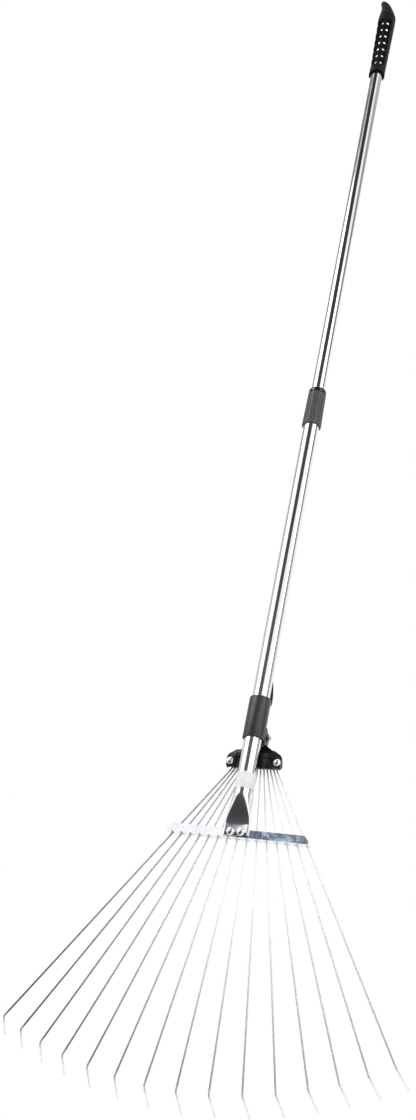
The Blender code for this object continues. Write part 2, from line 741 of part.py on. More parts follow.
def main():
    clear_scene()
    chrome = material("chrome_tube", (0.78, 0.79, 0.80), 0.12, 1.0)
    bright = material("bright_fastener", (0.80, 0.80, 0.79), 0.18, 1.0)
    zinc = material("zinc_plate", (0.62, 0.66, 0.72), 0.28, 1.0)
    wire = material("spring_wire", (0.45, 0.46, 0.48), 0.30, 1.0)
    grip_black = material("grip_black", (0.015, 0.015, 0.015), 0.62, 0.0)
    black = material("black_plastic", (0.012, 0.012, 0.013), 0.40, 0.0)
    grey = material("grey_plastic", (0.060, 0.060, 0.064), 0.42, 0.0)
    white = material("label_white", (0.82, 0.82, 0.82), 0.45, 0.0)
    natural = material("collet_plastic", (0.03, 0.03, 0.032), 0.45, 0.0)
    rubber = material("pad_rubber", (0.02, 0.02, 0.02), 0.80, 0.0)
    material("cutter", (1.0, 0.1, 0.1), 0.5, 0.0)

    frame = empty("rake_frame", None, (0, 0, -HANG_HEIGHT))
    upper = empty("upper_pole", frame)
    lower = empty("lower_pole", frame)
    slider = empty("slider", lower)

    tube("upper_tube", UPPER_R, UPPER_WALL, UPPER_BOTTOM, UPPER_TOP, chrome, upper)
    end_plug(upper, natural)
    grip(upper, grip_black)
    hang_cap(upper, grip_black)

    lower_tube(lower, chrome)
    collet_ring(lower, natural)
    label_band(lower, white)
    spreader_bar(lower, zinc)
    rivet("rivet_left", -1, lower, bright)
    rivet("rivet_right", 1, lower, bright)
    twist_collar(lower, grey)

    slider_sleeve(slider, grey)
    yoke_carrier(slider, black)
    yoke_front_plate(slider, black)
    brake_pad(slider, rubber)
    for side, name in ((-1, "left"), (1, "right")):
        yoke_screw("yoke_screw_" + name, side, slider, bright)
        centre = (side * SCREW_X, 0, SCREW_Z)
        low = YOKE_BACK + GAP
        nut = "yoke_nut_" + name
        hex_nut(nut, 0.0055, SHANK_R + GAP, low, low + 0.0024, "Y", centre, slider, bright)
    lever_pin(slider, bright)
    nut_low = EAR_OUTSIDE + GAP
    centre = (0, PIN_Y, PIN_Z)
    nut_high = nut_low + 0.0030
    hex_nut("lever_nut", 0.0062, PIN_R + GAP, nut_low, nut_high, "X", centre, slider, bright)
    cam_lever(slider, black)

    middle = (TINES - 1) // 2
    for k in range(-middle, middle + 1):
        tine(k, slider, wire)


main()
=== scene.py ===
import json
import math

import bmesh
import bpy
from mathutils import Matrix, Vector


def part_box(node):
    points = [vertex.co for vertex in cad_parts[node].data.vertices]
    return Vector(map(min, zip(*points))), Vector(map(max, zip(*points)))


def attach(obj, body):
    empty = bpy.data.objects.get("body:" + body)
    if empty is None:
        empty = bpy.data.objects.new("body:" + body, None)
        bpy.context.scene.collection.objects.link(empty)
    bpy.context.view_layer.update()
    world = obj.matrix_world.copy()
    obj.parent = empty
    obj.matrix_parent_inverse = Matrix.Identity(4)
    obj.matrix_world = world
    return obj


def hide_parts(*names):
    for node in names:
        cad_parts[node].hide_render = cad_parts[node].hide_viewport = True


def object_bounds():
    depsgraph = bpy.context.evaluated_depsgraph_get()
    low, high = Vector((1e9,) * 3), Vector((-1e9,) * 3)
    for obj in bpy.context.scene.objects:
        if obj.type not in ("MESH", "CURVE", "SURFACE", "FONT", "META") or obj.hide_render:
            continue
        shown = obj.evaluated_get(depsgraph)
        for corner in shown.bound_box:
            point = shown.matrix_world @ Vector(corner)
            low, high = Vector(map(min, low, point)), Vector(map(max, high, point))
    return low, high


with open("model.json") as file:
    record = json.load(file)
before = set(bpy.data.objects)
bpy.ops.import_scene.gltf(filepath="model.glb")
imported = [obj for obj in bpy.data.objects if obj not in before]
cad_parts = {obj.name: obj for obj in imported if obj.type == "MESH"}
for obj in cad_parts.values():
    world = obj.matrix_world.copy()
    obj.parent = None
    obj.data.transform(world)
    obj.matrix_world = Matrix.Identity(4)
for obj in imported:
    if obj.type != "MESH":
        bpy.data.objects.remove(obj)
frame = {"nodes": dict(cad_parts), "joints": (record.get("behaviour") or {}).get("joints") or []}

cad_low, cad_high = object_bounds()

# Driving dimensions in metres, from the frame where it has them.
JOINTS = {joint["name"]: joint for joint in frame["joints"]}
GAP = 0.0003  # between pieces that fit into each other

# Heights in the functions count up from AIM_Z, the level that the wires aim at. It lies just
# under the bar's bend line, and HINGE_HEIGHT under the middle wire's hinge.
HINGE_HEIGHT = 0.0875
AIM_Z = JOINTS["tine_08_swing"]["pos_m"][2] - HINGE_HEIGHT

TUBE_LOW, TUBE_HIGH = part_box("upper_tube")
UPPER_R = (TUBE_HIGH.x - TUBE_LOW.x) / 2
UPPER_WALL = 0.0008
STEM_R = UPPER_R - UPPER_WALL - GAP  # of the stems that fill the upper tube's ends

LABEL_LOW, LABEL_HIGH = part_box("label_band")
LABEL_R = (LABEL_HIGH.x - LABEL_LOW.x) / 2
LABEL_THICK = 0.0003
LOWER_R = LABEL_R - LABEL_THICK - GAP
LOWER_WALL = 0.0007


# Mesh helpers


def circle(radius, z, segments):
    steps = [2 * math.pi * i / segments for i in range(segments)]
    return [Vector((radius * math.cos(a), radius * math.sin(a), z)) for a in steps]


def rounded_section(half_x, half_y, power, z, segments, centre_x=0.0):
    """A superellipse: power 2 is an ellipse, and a higher power a rounded rectangle."""
    points = []
    for i in range(segments):
        a = 2 * math.pi * i / segments
        c, s = math.cos(a), math.sin(a)
        x = math.copysign(abs(c) ** (2 / power), c) * half_x
        y = math.copysign(abs(s) ** (2 / power), s) * half_y
        points.append(Vector((centre_x + x, y, z)))
    return points


def loft(rings, closed=False):
    """A skin over rings of equal length, capped at both ends unless it closes on itself."""
    bm = bmesh.new()
    rows = [[bm.verts.new(p) for p in ring] for ring in rings]
    pairs = list(zip(rows, rows[1:]))
    if closed:
        pairs.append((rows[-1], rows[0]))
    count = len(rings[0])
    for low, high in pairs:
        for i in range(count):
            j = (i + 1) % count
            bm.faces.new((low[i], low[j], high[j], high[i]))
    if not closed:
        bm.faces.new(rows[0])
        bm.faces.new(rows[-1])
    bmesh.ops.recalc_face_normals(bm, faces=bm.faces)
    return bm


def ring_solid(profile, segments=96):
    """A hollow solid of revolution about Z, from a closed loop of (radius, z) points."""
    return loft([circle(r, z, segments) for r, z in profile], closed=True)


def turned(profile, segments=48):
    """A solid of revolution about Z from (radius, z) points, first and last on the axis."""
    bm = bmesh.new()
    bottom = bm.verts.new((0, 0, profile[0][1]))
    top = bm.verts.new((0, 0, profile[-1][1]))
    rows = [[bm.verts.new(p) for p in circle(r, z, segments)] for r, z in profile[1:-1]]
    for i in range(segments):
        j = (i + 1) % segments
        bm.faces.new((bottom, rows[0][j], rows[0][i]))
        bm.faces.new((top, rows[-1][i], rows[-1][j]))
        for low, high in zip(rows, rows[1:]):
            bm.faces.new((low[i], low[j], high[j], high[i]))
    bmesh.ops.recalc_face_normals(bm, faces=bm.faces)
    return bm


def rounded(profile, radius, steps=3):
    """Rounds the corners of a (radius, z) profile whose first and last points stay."""
    out = [profile[0]]
    for before, here, after in zip(profile, profile[1:], profile[2:]):
        p, q, r = (Vector((*v, 0)) for v in (before, here, after))
        cut = min(radius, (p - q).length * 0.45, (r - q).length * 0.45)
        a, b = q + (p - q).normalized() * cut, q + (r - q).normalized() * cut
        for i in range(steps + 1):
            t = i / steps
            point = a * (1 - t) ** 2 + q * 2 * t * (1 - t) + b * t * t
            out.append((point.x, point.y))
    return out + [profile[-1]]


def turn_to(bm, along, centre):
    """Turns a shape made about Z so that its +Z points along +X or +Y, and moves it."""
    if along == "X":
        spin = Matrix.Rotation(math.pi / 2, 4, "Y")
    else:
        spin = Matrix.Rotation(-math.pi / 2, 4, "X")
    bmesh.ops.transform(bm, matrix=Matrix.Translation(centre) @ spin, verts=bm.verts)
    return bm


def sweep(path, radii, segments=14):
    """A round wire along a path in one plane, mitred at each point."""
    normal = Vector((0, 0, 0))
    for a, b, c in zip(path, path[1:], path[2:]):
        normal += (b - a).cross(c - b)
    normal.normalize()
    rings = []
    last = len(path) - 1
    for i, point in enumerate(path):
        before = (point - path[max(i - 1, 0)]).normalized()
        after = (path[min(i + 1, last)] - point).normalized()
        along = (before + after).normalized()
        side = along.cross(normal).normalized()
        stretch = 1.0 / max(along.dot(after), 0.5) if 0 < i < last else 1.0
        steps = [2 * math.pi * k / segments for k in range(segments)]
        across = [math.cos(a) * stretch * side + math.sin(a) * normal for a in steps]
        rings.append([point + radii[i] * offset for offset in across])
    return loft(rings)


def merged(parts):
    """Several shapes in one mesh. The parts are used up."""
    whole = bmesh.new()
    for part in parts:
        copy = bpy.data.meshes.new("piece_of_several")
        part.to_mesh(copy)
        part.free()
        whole.from_mesh(copy)
        bpy.data.meshes.remove(copy)
    return whole


def piece(name, bm, mat, body, node, sharp=40.0):
    """Makes a visual piece that stands for a CAD node, in the frame's own coordinates."""
    mesh = bpy.data.meshes.new(name)
    bm.to_mesh(mesh)
    bm.free()
    mesh.materials.append(mat)
    mesh.shade_smooth()
    mesh.set_sharp_from_angle(angle=math.radians(sharp))
    obj = bpy.data.objects.new(name, mesh)
    bpy.context.scene.collection.objects.link(obj)
    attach(obj, body)
    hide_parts(node)
    return obj


def cut_away(obj, cutter_bm):
    """Cuts a shape out of a piece for good, and leaves no cutter behind."""
    mesh = bpy.data.meshes.new("cutter")
    cutter_bm.to_mesh(mesh)
    cutter_bm.free()
    cutter = bpy.data.objects.new("cutter", mesh)
    bpy.context.scene.collection.objects.link(cutter)
    modifier = obj.modifiers.new("cut", "BOOLEAN")
    modifier.operation = "DIFFERENCE"
    modifier.solver = "EXACT"
    modifier.object = cutter
    graph = bpy.context.evaluated_depsgraph_get()
    cut = bpy.data.meshes.new_from_object(obj.evaluated_get(graph))
    obj.modifiers.clear()
    old = obj.data
    cut.name = old.name
    obj.data = cut
    bpy.data.meshes.remove(old)
    bpy.data.objects.remove(cutter, do_unlink=True)
    bpy.data.meshes.remove(mesh)


def refined(name, node, mat, body, rounding, segments=3):
    """A copy of a CAD node with its flat faces made whole and its edges rounded."""
    bm = bmesh.new()
    bm.from_mesh(frame["nodes"][node].data)
    bmesh.ops.remove_doubles(bm, verts=bm.verts, dist=0.000002)
    same_plane = math.radians(1.0)
    bmesh.ops.dissolve_limit(bm, angle_limit=same_plane, verts=bm.verts, edges=bm.edges)
    obj = piece(name, bm, mat, body, node, sharp=30.0)
    modifier = obj.modifiers.new("edge_rounding", "BEVEL")
    modifier.width = rounding
    modifier.segments = segments
    modifier.limit_method = "ANGLE"
    modifier.angle_limit = math.radians(35)
    modifier.use_clamp_overlap = True
    modifier.harden_normals = True
    return obj


# Materials


class Shader:
    """A Principled material that is built up from small procedural steps."""

    def __init__(self, name, colour, roughness, metallic=0.0, specular=0.5):
        self.mat = bpy.data.materials.new(name)
        self.mat.use_nodes = True
        self.nodes = self.mat.node_tree.nodes
        self.links = self.mat.node_tree.links
        self.out = self.nodes["Principled BSDF"]
        self.out.inputs["Base Color"].default_value = (*colour, 1.0)
        self.out.inputs["Roughness"].default_value = roughness
        self.out.inputs["Metallic"].default_value = metallic
        self.out.inputs["Specular IOR Level"].default_value = specular
        self.coords = self.nodes.new("ShaderNodeTexCoord").outputs["Object"]
        self.height = None

    def mapped(self, stretch):
        """The object's own coordinates in metres, scaled along each axis."""
        node = self.nodes.new("ShaderNodeMapping")
        node.inputs["Scale"].default_value = stretch
        self.links.new(self.coords, node.inputs["Vector"])
        return node.outputs["Vector"]

    def noise(self, scale, detail=3.0, stretch=(1, 1, 1), roughness=0.55):
        node = self.nodes.new("ShaderNodeTexNoise")
        node.inputs["Scale"].default_value = scale
        node.inputs["Detail"].default_value = detail
        node.inputs["Roughness"].default_value = roughness
        self.links.new(self.mapped(stretch), node.inputs["Vector"])
        return node.outputs["Fac"]

    def cells(self, scale):
        node = self.nodes.new("ShaderNodeTexVoronoi")
        node.inputs["Scale"].default_value = scale
        self.links.new(self.coords, node.inputs["Vector"])
        return node.outputs["Distance"]

    def ramp(self, value, low, high, to_low=0.0, to_high=1.0):
        """Maps a value between low and high to one between to_low and to_high."""
        node = self.nodes.new("ShaderNodeMapRange")
        node.inputs["From Min"].default_value = low
        node.inputs["From Max"].default_value = high
        node.inputs["To Min"].default_value = to_low
        node.inputs["To Max"].default_value = to_high
        self.links.new(value, node.inputs["Value"])
        return node.outputs["Result"]

    def roughness(self, value, low, high):
        """Roughness that follows a texture between two values."""
        self.links.new(self.ramp(value, 0.3, 0.7, low, high), self.out.inputs["Roughness"])

    def colour(self, value, low, high, first=0.35, last=0.65):
        """Base colour that follows a texture between two colours."""
        node = self.nodes.new("ShaderNodeValToRGB")
        node.color_ramp.elements[0].position = first
        node.color_ramp.elements[1].position = last
        node.color_ramp.elements[0].color = (*low, 1.0)
        node.color_ramp.elements[1].color = (*high, 1.0)
        self.links.new(value, node.inputs["Fac"])
        self.links.new(node.outputs["Color"], self.out.inputs["Base Color"])

    def bump(self, value, depth, strength=1.0):
        """Adds a bump whose full swing is a depth in metres."""
        node = self.nodes.new("ShaderNodeBump")
        node.inputs["Strength"].default_value = strength
        node.inputs["Distance"].default_value = depth
        self.links.new(value, node.inputs["Height"])
        if self.height is not None:
            self.links.new(self.height, node.inputs["Normal"])
        self.height = node.outputs["Normal"]
        self.links.new(self.height, self.out.inputs["Normal"])


def chrome(name, colour=(0.88, 0.89, 0.90), low=0.05, high=0.10):
    """Polished plating, drawn lengthwise, with faint clouds in its gloss."""
    s = Shader(name, colour, low, metallic=1.0)
    drawn = s.noise(900, 2.0, (1.0, 1.0, 0.01))
    cloud = s.noise(22, 4.0)
    s.roughness(cloud, low, high)
    s.colour(cloud, tuple(c * 0.97 for c in colour), colour)
    s.bump(drawn, 0.0000010)
    return s.mat


def zinc(name):
    """Bright blue-white zinc plating with cloudy patches and shallow dents."""
    s = Shader(name, (0.84, 0.88, 0.93), 0.10, metallic=1.0)
    blotch = s.noise(55, 3.5, (1.0, 1.0, 1.6), 0.6)
    s.colour(blotch, (0.80, 0.85, 0.92), (0.97, 0.98, 1.0), 0.36, 0.62)
    s.roughness(blotch, 0.02, 0.05)
    s.bump(s.noise(260, 3.0), 0.000006)
    s.bump(s.noise(30, 2.0), 0.00014)
    return s.mat


def spring_wire_with_painted_shade(name, upper, lower, top_z, bend_z, tip_z):
    """Sprung wire with painted shade, whose colour changes from top_z down to its bend, and with
    a painted highlight that makes its tip bright.
    """
    s = Shader(name, upper, 0.6, metallic=1.0)
    split = s.nodes.new("ShaderNodeSeparateXYZ")
    s.links.new(s.coords, split.inputs["Vector"])
    along = s.ramp(split.outputs["Z"], top_z, tip_z)
    bend = (top_z - bend_z) / (top_z - tip_z)
    blend = 0.02
    # painted shade: the colour runs from the upper tone down to a darker painted shade at the
    # bend
    s.colour(along, upper, lower, 0.40, bend - blend)
    stops = s.out.inputs["Base Color"].links[0].from_node.color_ramp.elements
    # painted highlight: the tip is painted pale
    for place in (bend + blend, 1.0):
        stops.new(place).color = (0.93, 0.96, 0.98, 1.0)
    s.roughness(s.noise(160, 2.0), 0.56, 0.68)
    s.bump(s.noise(700, 2.0, (1.0, 1.0, 0.1)), 0.000002)
    return s.mat


def grip_rubber(name):
    """Soft black rubber with a fine grain and a little dust."""
    s = Shader(name, (0.006, 0.006, 0.007), 0.6, specular=0.08)
    grain = s.cells(2600)
    dust = s.noise(60, 4.0)
    s.colour(dust, (0.004, 0.004, 0.005), (0.008, 0.008, 0.009))
    s.roughness(dust, 0.46, 0.62)
    s.bump(grain, 0.00005, 0.8)
    return s.mat


def moulded(name, dark, light, low, high, grain=0.00002, specular=0.5):
    """Moulded plastic between two shades and two roughnesses, with a grain that deep."""
    s = Shader(name, light, low, specular=specular)
    tone = s.noise(70, 4.0)
    s.colour(tone, dark, light)
    s.roughness(s.noise(240, 3.0), low, high)
    s.bump(s.cells(3200), grain, 0.6)
    s.bump(s.noise(90, 2.0), 0.00001)
    return s.mat


def film(name):
    """Plain white film."""
    s = Shader(name, (0.80, 0.80, 0.80), 0.4)
    s.colour(s.noise(90, 4.0), (0.69, 0.69, 0.69), (0.78, 0.78, 0.78))
    s.roughness(s.noise(300, 2.0), 0.30, 0.46)
    s.bump(s.noise(700, 3.0), 0.000006)
    return s.mat


CHROME = chrome("chrome_tube_polished")
BRIGHT = chrome("fastener_plating", (0.96, 0.96, 0.95), 0.26, 0.36)
ZINC = zinc("zinc_plating")
GRIP = grip_rubber("grip_soft_black")
BLACK = moulded(
    "black_moulded", (0.003, 0.003, 0.004), (0.008, 0.008, 0.009), 0.22, 0.34, specular=0.4
)
LEVER = moulded(
    "black_lever", (0.001, 0.001, 0.001), (0.003, 0.003, 0.003), 0.50, 0.62, specular=0.06
)
GREY = moulded(
    "dark_grey_satin", (0.024, 0.024, 0.026), (0.028, 0.028, 0.030), 0.32, 0.38, 0.000004
)
RIB_GREY = moulded(
    "collar_dark_grey", (0.050, 0.050, 0.054), (0.062, 0.062, 0.067), 0.40, 0.48, 0.000004
)
DARK = moulded("collet_dark", (0.003, 0.003, 0.004), (0.008, 0.008, 0.009), 0.12, 0.22)
RUBBER = moulded("pad_rubber_black", (0.012, 0.012, 0.012), (0.022, 0.022, 0.022), 0.7, 0.85)
FILM = film("label_film")


# Upper pole


def upper_tube():
    low, high = TUBE_LOW.z, TUBE_HIGH.z
    inner = UPPER_R - UPPER_WALL
    profile = [(UPPER_R, low + 0.0004), (UPPER_R, high), (inner, high), (inner, low)]
    profile.append((UPPER_R - 0.0004, low))
    body = ring_solid(profile)
    piece("upper_tube_polished", body, CHROME, "upper_pole", "upper_tube")


GRIP_LOW, GRIP_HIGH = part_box("grip")
GRIP_R = (GRIP_HIGH.x - GRIP_LOW.x) / 2
GRIP_TAPER = 0.0019
GRIP_FLARE = 0.0005
WINDOW_ROWS = 7
WINDOW_FIRST = AIM_Z + 1.2194
WINDOW_PITCH = 0.0152
WINDOW_AZIMUTHS = (-76.0, -20.0, 36.0)  # degrees from the front towards +X
WINDOW_WEIGHTS = (0.6, 1.0, 1.0)  # how deep each column is pressed in
WINDOW_HALF = (0.0029, 0.0024)  # half width and half height of a window
WINDOW_CUT = (0.0086, 0.0160)  # radii inside the bore and outside the grip, for its cutter
BOWL_FLOOR = (0.0030, 0.0027)  # half width and half height of the bowl's floor
BOWL_SLOPE = (0.0028, 0.0049)  # how far the bowl's slope runs on sideways and upwards


def grip_radius(z):
    """The grip's plain outer radius: a flared skirt, then a slow taper out to the cap."""
    t = (z - GRIP_LOW.z) / (GRIP_HIGH.z - GRIP_LOW.z)
    base = GRIP_R - GRIP_TAPER * (1 - min(t / 0.9, 1.0)) ** 1.1
    return base + GRIP_FLARE * math.exp(-((t / 0.035) ** 2))


def hollow(azimuth, z):
    """How far a window's bowl draws the surface in, from 0 to 1."""
    deepest = 0.0
    for column, weight in zip(WINDOW_AZIMUTHS, WINDOW_WEIGHTS):
        across = (azimuth - column + 180) % 360 - 180
        arc = abs(math.radians(across)) * GRIP_R
        for row in range(WINDOW_ROWS):
            up = abs(z - WINDOW_FIRST - row * WINDOW_PITCH)
            side = max(0.0, arc - BOWL_FLOOR[0]) / BOWL_SLOPE[0]
            rise = max(0.0, up - BOWL_FLOOR[1]) / BOWL_SLOPE[1]
            reach = math.hypot(side, rise)
            if reach < 1:
                deepest = max(deepest, weight * (1 - reach**3))
    return deepest


def window_cutters():
    """One short oval rod for each window, pointing out from the pole's axis."""
    cutters = []
    for azimuth in WINDOW_AZIMUTHS:
        for row in range(WINDOW_ROWS):
            rod = loft([rounded_section(*WINDOW_HALF, 2.0, z, 24) for z in WINDOW_CUT])
            tip_over = Matrix.Rotation(math.pi / 2, 4, "X")
            spin = Matrix.Rotation(math.radians(azimuth), 4, "Z") @ tip_over
            up = Matrix.Translation((0, 0, WINDOW_FIRST + row * WINDOW_PITCH))
            bmesh.ops.transform(rod, matrix=up @ spin, verts=rod.verts)
            cutters.append(rod)
    return cutters


def grip():
    """The cushion, with a bowl pressed in round each window and the windows cut through."""
    segments, rows = 144, 180
    bore = UPPER_R + GAP
    thinnest = 0.0003
    rings = [circle(bore, GRIP_LOW.z + 0.0004, segments)]
    rings.append(circle(grip_radius(GRIP_LOW.z) - 0.0004, GRIP_LOW.z, segments))
    for i in range(rows + 1):
        z = GRIP_LOW.z + 0.0005 + (GRIP_HIGH.z - GRIP_LOW.z - 0.0009) * i / rows
        plain = grip_radius(z)
        deepest = plain - bore - thinnest
        ring = []
        for p in circle(1.0, z, segments):
            azimuth = math.degrees(math.atan2(p.x, -p.y))
            r = plain - deepest * hollow(azimuth, z)
            ring.append(Vector((p.x * r, p.y * r, z)))
        rings.append(ring)
    rings.append(circle(GRIP_R - 0.0005, GRIP_HIGH.z, segments))
    rings.append(circle(bore, GRIP_HIGH.z, segments))
    body = loft(rings, closed=True)
    obj = piece("grip_cushion", body, GRIP, "upper_pole", "grip", 60)
    cut_away(obj, merged(window_cutters()))


HANG_HOLE_R = 0.0047


def hang_cap():
    """Shoulder and hooked tab, as smooth sections, with a round hole across the tab."""
    low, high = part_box("hang_cap")
    foot = GRIP_HIGH.z + GAP
    top = high.z - foot
    # height above the foot, half width, half depth, corner power, lean
    stages = [
        (0.0000, 0.0129, 0.0129, 2.0, 0.0),
        (0.0006, 0.0133, 0.0133, 2.0, 0.0),
        (0.0030, 0.0131, 0.0130, 2.0, 0.0),
        (0.0090, 0.0117, 0.0123, 2.1, -0.0004),
        (0.0150, 0.0101, 0.0117, 2.3, -0.0009),
        (0.0230, 0.0080, 0.0109, 2.6, -0.0020),
        (0.0300, 0.0068, 0.0101, 2.7, -0.0044),
        (0.0360, 0.0057, 0.0088, 2.5, -0.0074),
        (0.0400, 0.0046, 0.0066, 2.3, -0.0090),
        (0.0430, 0.0031, 0.0042, 2.1, -0.0097),
        (top - 0.0003, 0.0018, 0.0026, 2.0, -0.0100),
        (top, 0.0009, 0.0013, 2.0, -0.0100),
    ]
    mixes = []
    for before, after in zip(stages, stages[1:]):
        for i in range(4):
            mixes.append([a + (b - a) * i / 4 for a, b in zip(before, after)])
    rings = []
    for height, half_x, half_y, power, lean in mixes + [stages[-1]]:
        rings.append(rounded_section(half_x, half_y, power, foot + height, 96, lean))
    for _ in range(4):
        smooth = [rings[0]]
        for a, b, c in zip(rings, rings[1:], rings[2:]):
            smooth.append([(p + 2 * q + r) / 4 for p, q, r in zip(a, b, c)])
        rings = smooth + [rings[-1]]
    rings = [circle(STEM_R, low.z, 96), circle(STEM_R, foot, 96)] + rings
    obj = piece("hang_cap_tab", loft(rings), GRIP, "upper_pole", "hang_cap", 45)
    end, flared = 0.013, HANG_HOLE_R + 0.0015
    hole = [(0, -end), (flared, -end), (HANG_HOLE_R, -0.0062), (HANG_HOLE_R, 0.0040)]
    hole += [(flared, end), (0, end)]
    cut_away(obj, turn_to(turned(hole, 64), "X", (0, 0, 0)))


def end_plug():
    low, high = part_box("end_plug")
    flange = (high.x - low.x) / 2
    seat = low.z + 0.008
    outline = [(0, low.z), (flange - 0.0008, low.z), (flange, low.z + 0.001), (flange, seat)]
    outline += [(STEM_R, seat), (STEM_R, high.z), (0, high.z)]
    body = turned(rounded(outline, 0.0004), 64)
    piece("end_plug_moulding", body, DARK, "upper_pole", "end_plug")


# Lower pole


def lower_tube():
    """Round tube whose end is pressed flat, with fuller rolled sides beside the rivets."""
    low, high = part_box("lower_tube")
    half_width = (high.x - low.x) / 2
    half_thick = 0.0013
    segments, steps = 96, 30
    flare_end, flare_top, bore_floor = AIM_Z + 0.013, AIM_Z + 0.047, AIM_Z + 0.055
    boxy, round_power = 7.0, 2.0
    rolled = 0.45  # how much fuller the rolled sides are

    def section(half_x, half_y, power, z, roll):
        ring = rounded_section(half_x, half_y, power, z, segments)
        for p in ring:
            if p.y < 0:
                p.y *= 1 + roll * abs(p.x / half_x) ** 5
        return ring

    flat = [low.z, low.z + 0.0004, low.z + 0.004, low.z + 0.009]
    rings = []
    for i, z in enumerate(flat):
        inset = 0.0003 if i == 0 else 0.0
        rings.append(section(half_width - inset, half_thick - inset, boxy, z, rolled))
    for i in range(steps + 1):
        t = i / steps
        z = flare_end + (flare_top - flare_end) * t
        roundness = t * t * (3 - 2 * t)
        half_x = half_width + (LOWER_R - half_width) * roundness
        half_y = half_thick + (LOWER_R - half_thick) * roundness
        power = boxy + (round_power - boxy) * t**0.5
        rings.append(section(half_x, half_y, power, z, rolled * (1 - t) ** 3))
    inner = LOWER_R - LOWER_WALL
    rings += [circle(LOWER_R, high.z, segments), circle(inner, high.z, segments)]
    rings.append(circle(inner, bore_floor, segments))
    piece("lower_tube_polished", loft(rings), CHROME, "lower_pole", "lower_tube")


def collet_ring():
    """A bush on the lower tube's end, whose rim stands out over the collar."""
    low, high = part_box("collet_ring")
    bottom, top = low.z, high.z
    bore, rim = UPPER_R + GAP, (high.x - low.x) / 2
    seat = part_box("twist_collar")[1].z + GAP
    profile = [(LOWER_R, bottom), (LOWER_R, seat), (rim - 0.0003, seat), (rim, seat + 0.0003)]
    profile += [(rim, top - 0.0022), (rim - 0.0002, top - 0.0016), (rim - 0.0011, top - 0.0003)]
    profile += [(rim - 0.0014, top), (bore + 0.0002, top), (bore, top - 0.0003), (bore, bottom)]
    body = ring_solid(profile)
    piece("collet_ring_moulding", body, DARK, "lower_pole", "collet_ring")


def label_band():
    low, high = LABEL_LOW.z, LABEL_HIGH.z
    inner, outer, corner = LABEL_R - LABEL_THICK, LABEL_R, 0.0001
    profile = [(outer, low + corner), (outer, high - corner), (outer - corner, high)]
    profile += [(inner, high), (inner, low), (outer - corner, low)]
    body = ring_solid(profile, 128)
    piece("label_band_film", body, FILM, "lower_pole", "label_band")


def domed_head(radius, crown, seat, steps, power):
    """A dome as (radius, y) points from its crown to the flat seat under it."""
    points = [(0, crown)]
    for i in range(1, steps):
        a = math.radians(90 * i / steps)
        points.append((radius * math.sin(a), seat - (seat - crown) * math.cos(a) ** power))
    edge = 0.0002
    return points + [(radius, seat - edge), (radius - edge, seat)]


def rivet(name):
    """A domed rivet with a closed head behind the bar."""
    low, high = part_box(name)
    centre = Vector(((low.x + high.x) / 2, 0, (low.z + high.z) / 2))
    seat, back = low.y + 0.0027, high.y - 0.0012
    shank, closed_r = 0.0018, 0.0024
    outline = domed_head((high.x - low.x) / 2, low.y, seat, 8, 0.9)
    outline += [(shank, seat), (shank, back), (closed_r, back)]
    outline += [(closed_r - 0.0002, high.y - 0.0003), (0, high.y)]
    bm = turn_to(turned(outline, 48), "Y", centre)
    piece(name + "_dome", bm, BRIGHT, "lower_pole", name, 50)


# Twist collar


def twist_collar():
    """A plain skirt, a ribbed middle and a slightly narrower plain top."""
    low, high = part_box("twist_collar")
    outer, bore = (high.x - low.x) / 2, LOWER_R + GAP
    ribs, per_rib = 24, 8
    count = ribs * per_rib

    def ribbed(depth, z, radius):
        """A circle with a groove of that depth between each two ribs."""
        ring = []
        for i, p in enumerate(circle(1.0, z, count)):
            groove = max(0.0, math.cos(2 * math.pi * i / per_rib)) ** 0.7
            r = radius - depth * groove
            ring.append(Vector((p.x * r, p.y * r, z)))
        return ring

    z0, z1 = low.z, high.z
    top = outer - 0.0007
    rings = [
        circle(bore, z0, count),
        circle(outer - 0.0009, z0, count),
        circle(outer - 0.0004, z0 + 0.0003, count),
        circle(outer - 0.0001, z0 + 0.0009, count),
        circle(outer, z0 + 0.0012, count),
        circle(outer, z0 + 0.0022, count),
        circle(outer, z0 + 0.0026, count),
        ribbed(0.0004, z0 + 0.0030, outer),
        ribbed(0.0007, z0 + 0.0040, outer),
        ribbed(0.0007, z1 - 0.0056, top),
        ribbed(0.0004, z1 - 0.0048, top),
        circle(top, z1 - 0.0044, count),
        circle(top, z1 - 0.0040, count),
        circle(top - 0.0001, z1 - 0.0012, count),
        circle(top - 0.0004, z1 - 0.0003, count),
        circle(top - 0.0007, z1, count),
        circle(bore, z1, count),
    ]
    body = loft(rings, closed=True)
    name = "twist_collar"
    piece("twist_collar_ribbed", body, RIB_GREY, name, name, 50)


# Slider


def slider_sleeve():
    """The slider's tube, with a window at its back for the brake pad."""
    low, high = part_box("slider_sleeve")
    outer, bore = (high.x - low.x) / 2, LOWER_R + GAP
    profile = [(bore, low.z), (outer - 0.0005, low.z), (outer - 0.0001, low.z + 0.0002)]
    profile += [(outer, low.z + 0.0006), (outer, high.z - 0.0008)]
    profile.append((outer - 0.0002, high.z - 0.0002))
    profile += [(outer - 0.0007, high.z), (bore + 0.0002, high.z), (bore, high.z - 0.0002)]
    body = ring_solid(profile, 128)
    obj = piece("slider_sleeve_satin", body, GREY, "slider", "slider_sleeve")
    pad_low, pad_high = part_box("brake_pad")
    window = bmesh.new()
    bmesh.ops.create_cube(window, size=1.0)
    size = pad_high - pad_low + Vector((2 * GAP, 0.010, 2 * GAP))
    place = Matrix.Translation((pad_low + pad_high) / 2) @ Matrix.Diagonal((*size, 1.0))
    bmesh.ops.transform(window, matrix=place, verts=window.verts)
    cut_away(obj, window)


